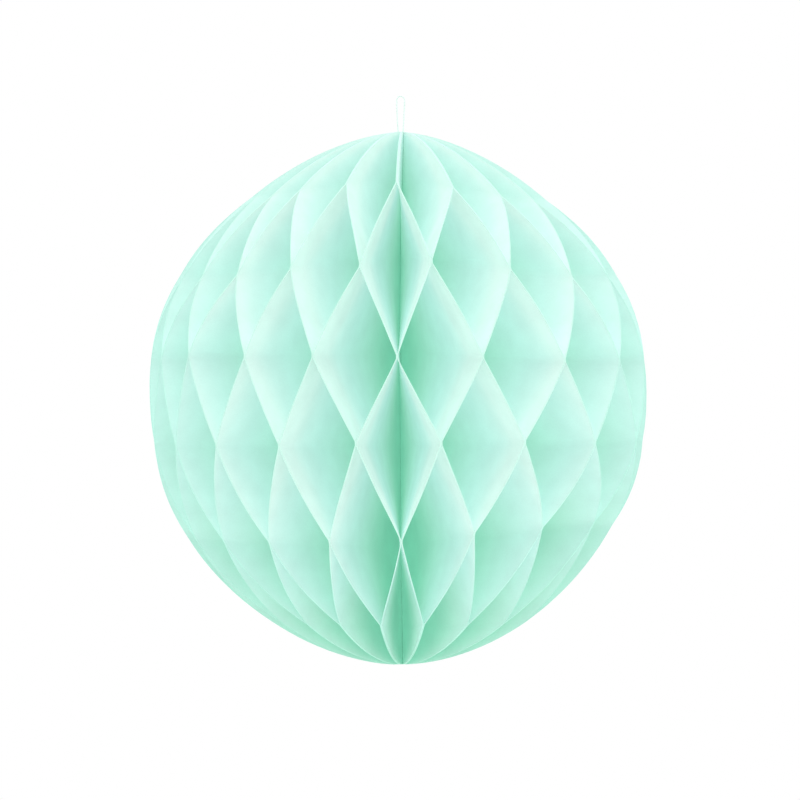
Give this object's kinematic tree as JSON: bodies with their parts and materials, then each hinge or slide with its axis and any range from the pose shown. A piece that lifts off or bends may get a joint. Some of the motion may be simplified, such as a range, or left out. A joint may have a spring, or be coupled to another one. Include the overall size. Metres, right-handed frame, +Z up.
{
  "type": "honeycomb paper ball",
  "caption": "Hanging ball of mint tissue: half-round sheets glued in alternate lines, opened round a bound spine into diamond cells, with card covers and a thread loop.",
  "frame": {"origin": "inside of the hanging loop's crest, the point that a hook touches; the ball hangs below it", "axes": "+Z up along the spine, -Y the ball's front with a column of cells in its middle, +X its right side seen from the front"},
  "size_m": [0.0922, 0.0922, 0.1068],
  "materials": {
    "tissue": "matt thin tissue, slightly see-through",
    "card": "smooth dyed card",
    "glue": "dried paper glue",
    "tape": "thin double-sided film",
    "thread": "two-ply spun thread"
  },
  "bodies": {
    "root": {"tissue_sheet_01": "tissue", "tissue_sheet_02": "tissue", "tissue_sheet_03": "tissue", "tissue_sheet_04": "tissue", "tissue_sheet_05": "tissue", "tissue_sheet_06": "tissue", "tissue_sheet_07": "tissue", "tissue_sheet_08": "tissue", "tissue_sheet_09": "tissue", "tissue_sheet_10": "tissue", "tissue_sheet_11": "tissue", "tissue_sheet_12": "tissue", "tissue_sheet_13": "tissue", "tissue_sheet_14": "tissue", "tissue_sheet_15": "tissue", "tissue_sheet_16": "tissue", "tissue_sheet_17": "tissue", "tissue_sheet_18": "tissue", "tissue_sheet_19": "tissue", "tissue_sheet_20": "tissue", "tissue_sheet_21": "tissue", "tissue_sheet_22": "tissue", "tissue_sheet_23": "tissue", "tissue_sheet_24": "tissue", "tissue_sheet_25": "tissue", "tissue_sheet_26": "tissue", "tissue_sheet_27": "tissue", "tissue_sheet_28": "tissue", "tissue_sheet_29": "tissue", "tissue_sheet_30": "tissue", "tissue_sheet_31": "tissue", "tissue_sheet_32": "tissue", "tissue_sheet_33": "tissue", "tissue_sheet_34": "tissue", "tissue_sheet_35": "tissue", "tissue_sheet_36": "tissue", "tissue_sheet_37": "tissue", "tissue_sheet_38": "tissue", "cover_left": "card", "cover_right": "card", "joining_tape_upper": "tape", "joining_tape_lower": "tape", "spine_binding": "glue", "hanging_thread": "thread", "thread_knot": "thread"}
  },
  "joints": []
}
